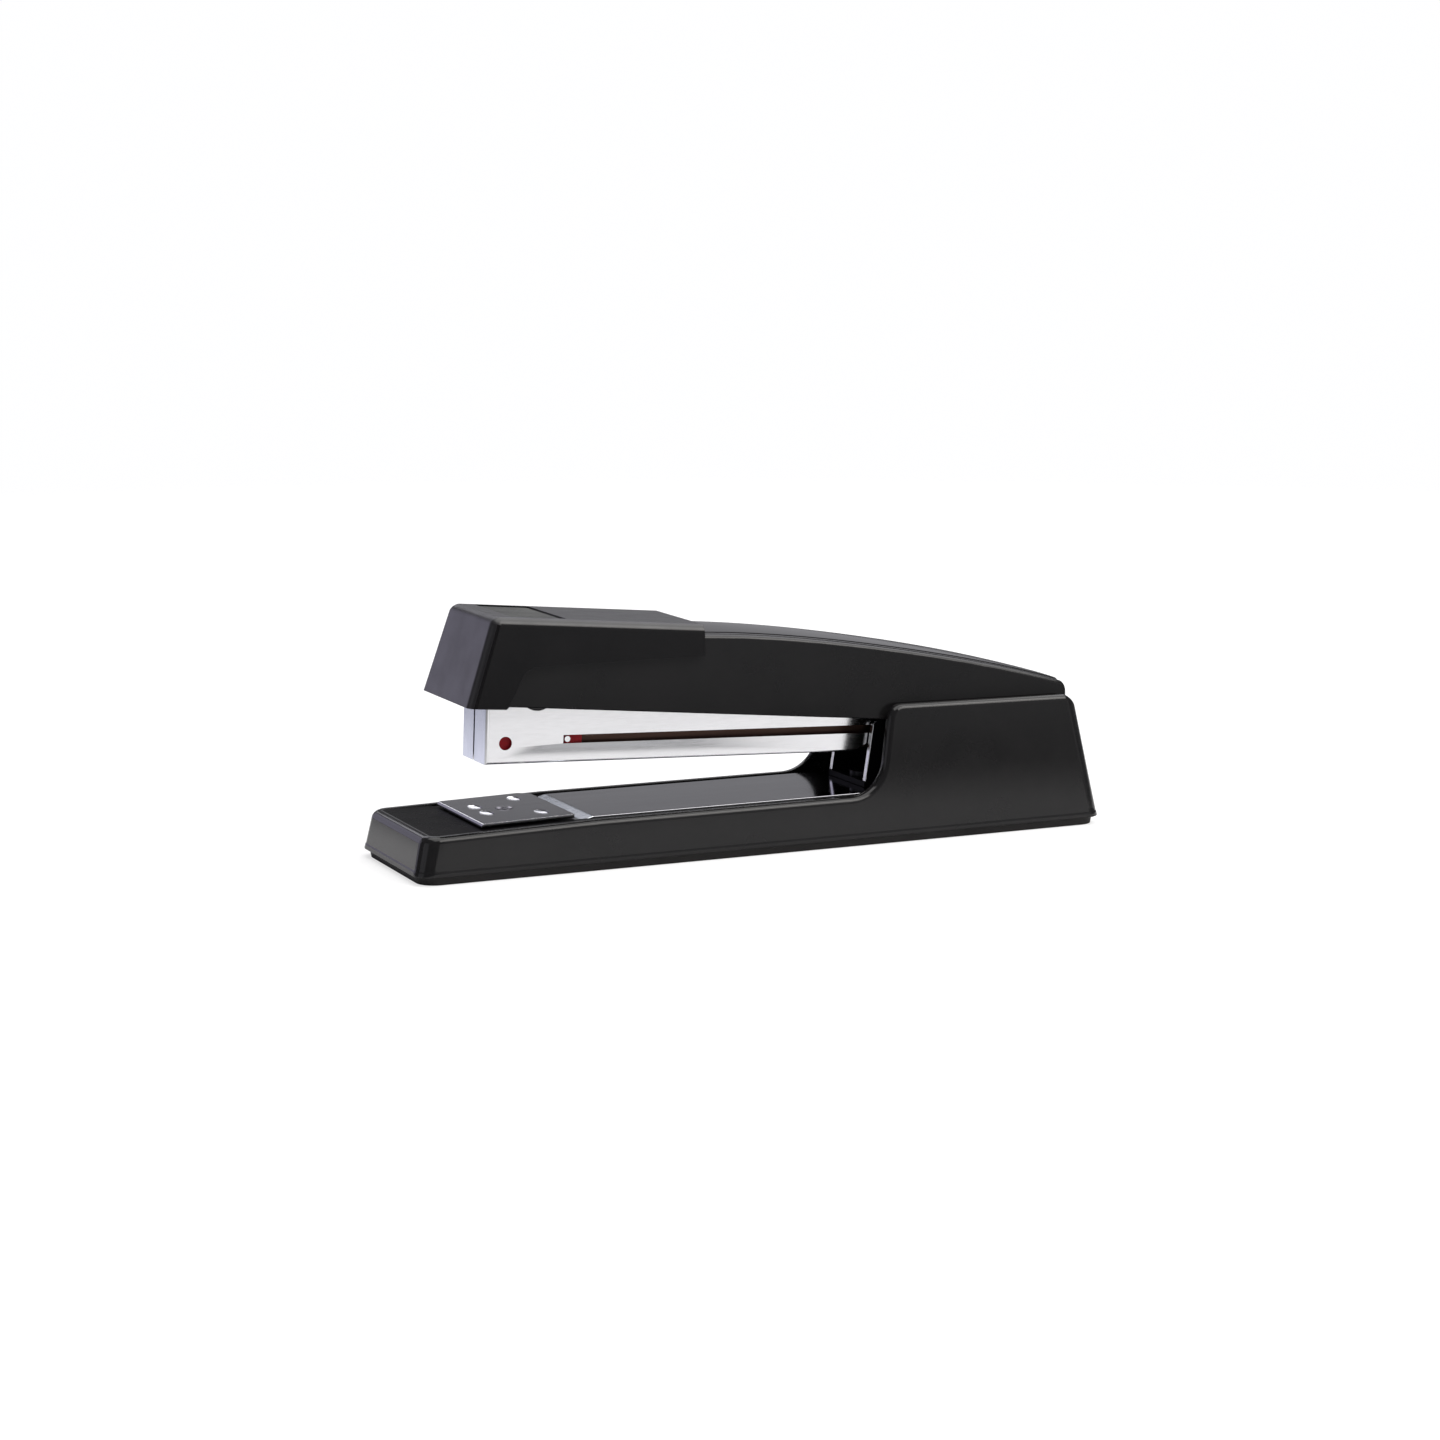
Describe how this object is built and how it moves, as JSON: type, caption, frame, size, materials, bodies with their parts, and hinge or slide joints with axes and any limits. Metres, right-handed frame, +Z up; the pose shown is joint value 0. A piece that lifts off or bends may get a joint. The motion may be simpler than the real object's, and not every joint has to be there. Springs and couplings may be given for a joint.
{
  "type": "desk stapler",
  "caption": "Desk stapler with a long sprung handle over a nickel staple magazine, hinged on a low base with a reversible anvil plate.",
  "frame": {"origin": "middle of the base's outline, on the surface that the stapler stands on", "axes": "+X from the mouth towards the rear, +Y across, +Z up"},
  "size_m": [0.18, 0.0422, 0.0599],
  "materials": {
    "black_shell": "gloss",
    "cap_texture": "fine matt texture",
    "inlay_texture": "coarser matt texture",
    "rubber": "matt",
    "nickel": "bright nickel",
    "steel_polished": "polished",
    "steel_plain": "satin zinc",
    "spring_steel": "drawn wire",
    "red_plastic": "satin",
    "black_plastic": "matt"
  },
  "bodies": {
    "base": {"base_shell": "black_shell", "foot_pad": "rubber", "base_plate": "steel_plain", "base_screws": "steel_plain", "steel_strip": "steel_polished", "hinge_bracket": "nickel", "bracket_screws": "steel_plain", "hinge_pin": "steel_plain", "pin_clips": "spring_steel", "lift_spring": "spring_steel", "anvil_spring": "spring_steel"},
    "anvil_post": {"anvil_post": "nickel", "anvil_button": "black_plastic"},
    "anvil": {"anvil_plate": "steel_polished"},
    "magazine": {"magazine_channel": "nickel", "staple_rail": "nickel", "guide_rod": "steel_plain", "rod_stop": "black_plastic", "follower_spring": "spring_steel", "rail_rivets": "steel_plain"},
    "follower": {"follower": "red_plastic", "follower_pins": "nickel"},
    "handle": {"handle_shell": "black_shell", "front_cap": "cap_texture", "cap_inlay": "inlay_texture", "handle_frame": "steel_plain", "driver_blade": "steel_polished", "driver_rivets": "steel_plain", "press_spring": "spring_steel", "spring_rivet": "steel_plain", "shell_screws": "steel_plain"}
  },
  "joints": [
    {"name": "magazine_hinge", "type": "hinge", "parent": "base", "child": "magazine", "pos_m": [0.068, 0, 0.025], "axis": [0, 1, 0], "range_deg": [-4.8, 30], "stiffness_Nm_per_rad": 3, "springref_deg": 1.15, "deforming": ["lift_spring"]},
    {"name": "handle_hinge", "type": "hinge", "parent": "magazine", "child": "handle", "pos_m": [0.068, 0, 0.025], "axis": [0, 1, 0], "range_deg": [-4, 80], "stiffness_Nm_per_rad": 2, "springref_deg": 1.15, "deforming": ["press_spring"]},
    {"name": "follower_slide", "type": "slide", "parent": "magazine", "child": "follower", "axis": [0.9992, 0, -0.0393], "range_m": [0, 0.088], "stiffness_N_per_m": 20, "springref_m": -0.03, "deforming": ["follower_spring"]},
    {"name": "anvil_lift", "type": "slide", "parent": "base", "child": "anvil_post", "axis": [-0.0227, 0, 0.9997], "range_m": [0, 0.002], "stiffness_N_per_m": 400, "springref_m": -0.002, "deforming": ["anvil_spring"]},
    {"name": "anvil_turn", "type": "hinge", "parent": "anvil_post", "child": "anvil", "pos_m": [-0.0615, 0, 0.0117], "axis": [-0.0227, 0, 0.9997], "range_deg": [0, 180]}
  ]
}
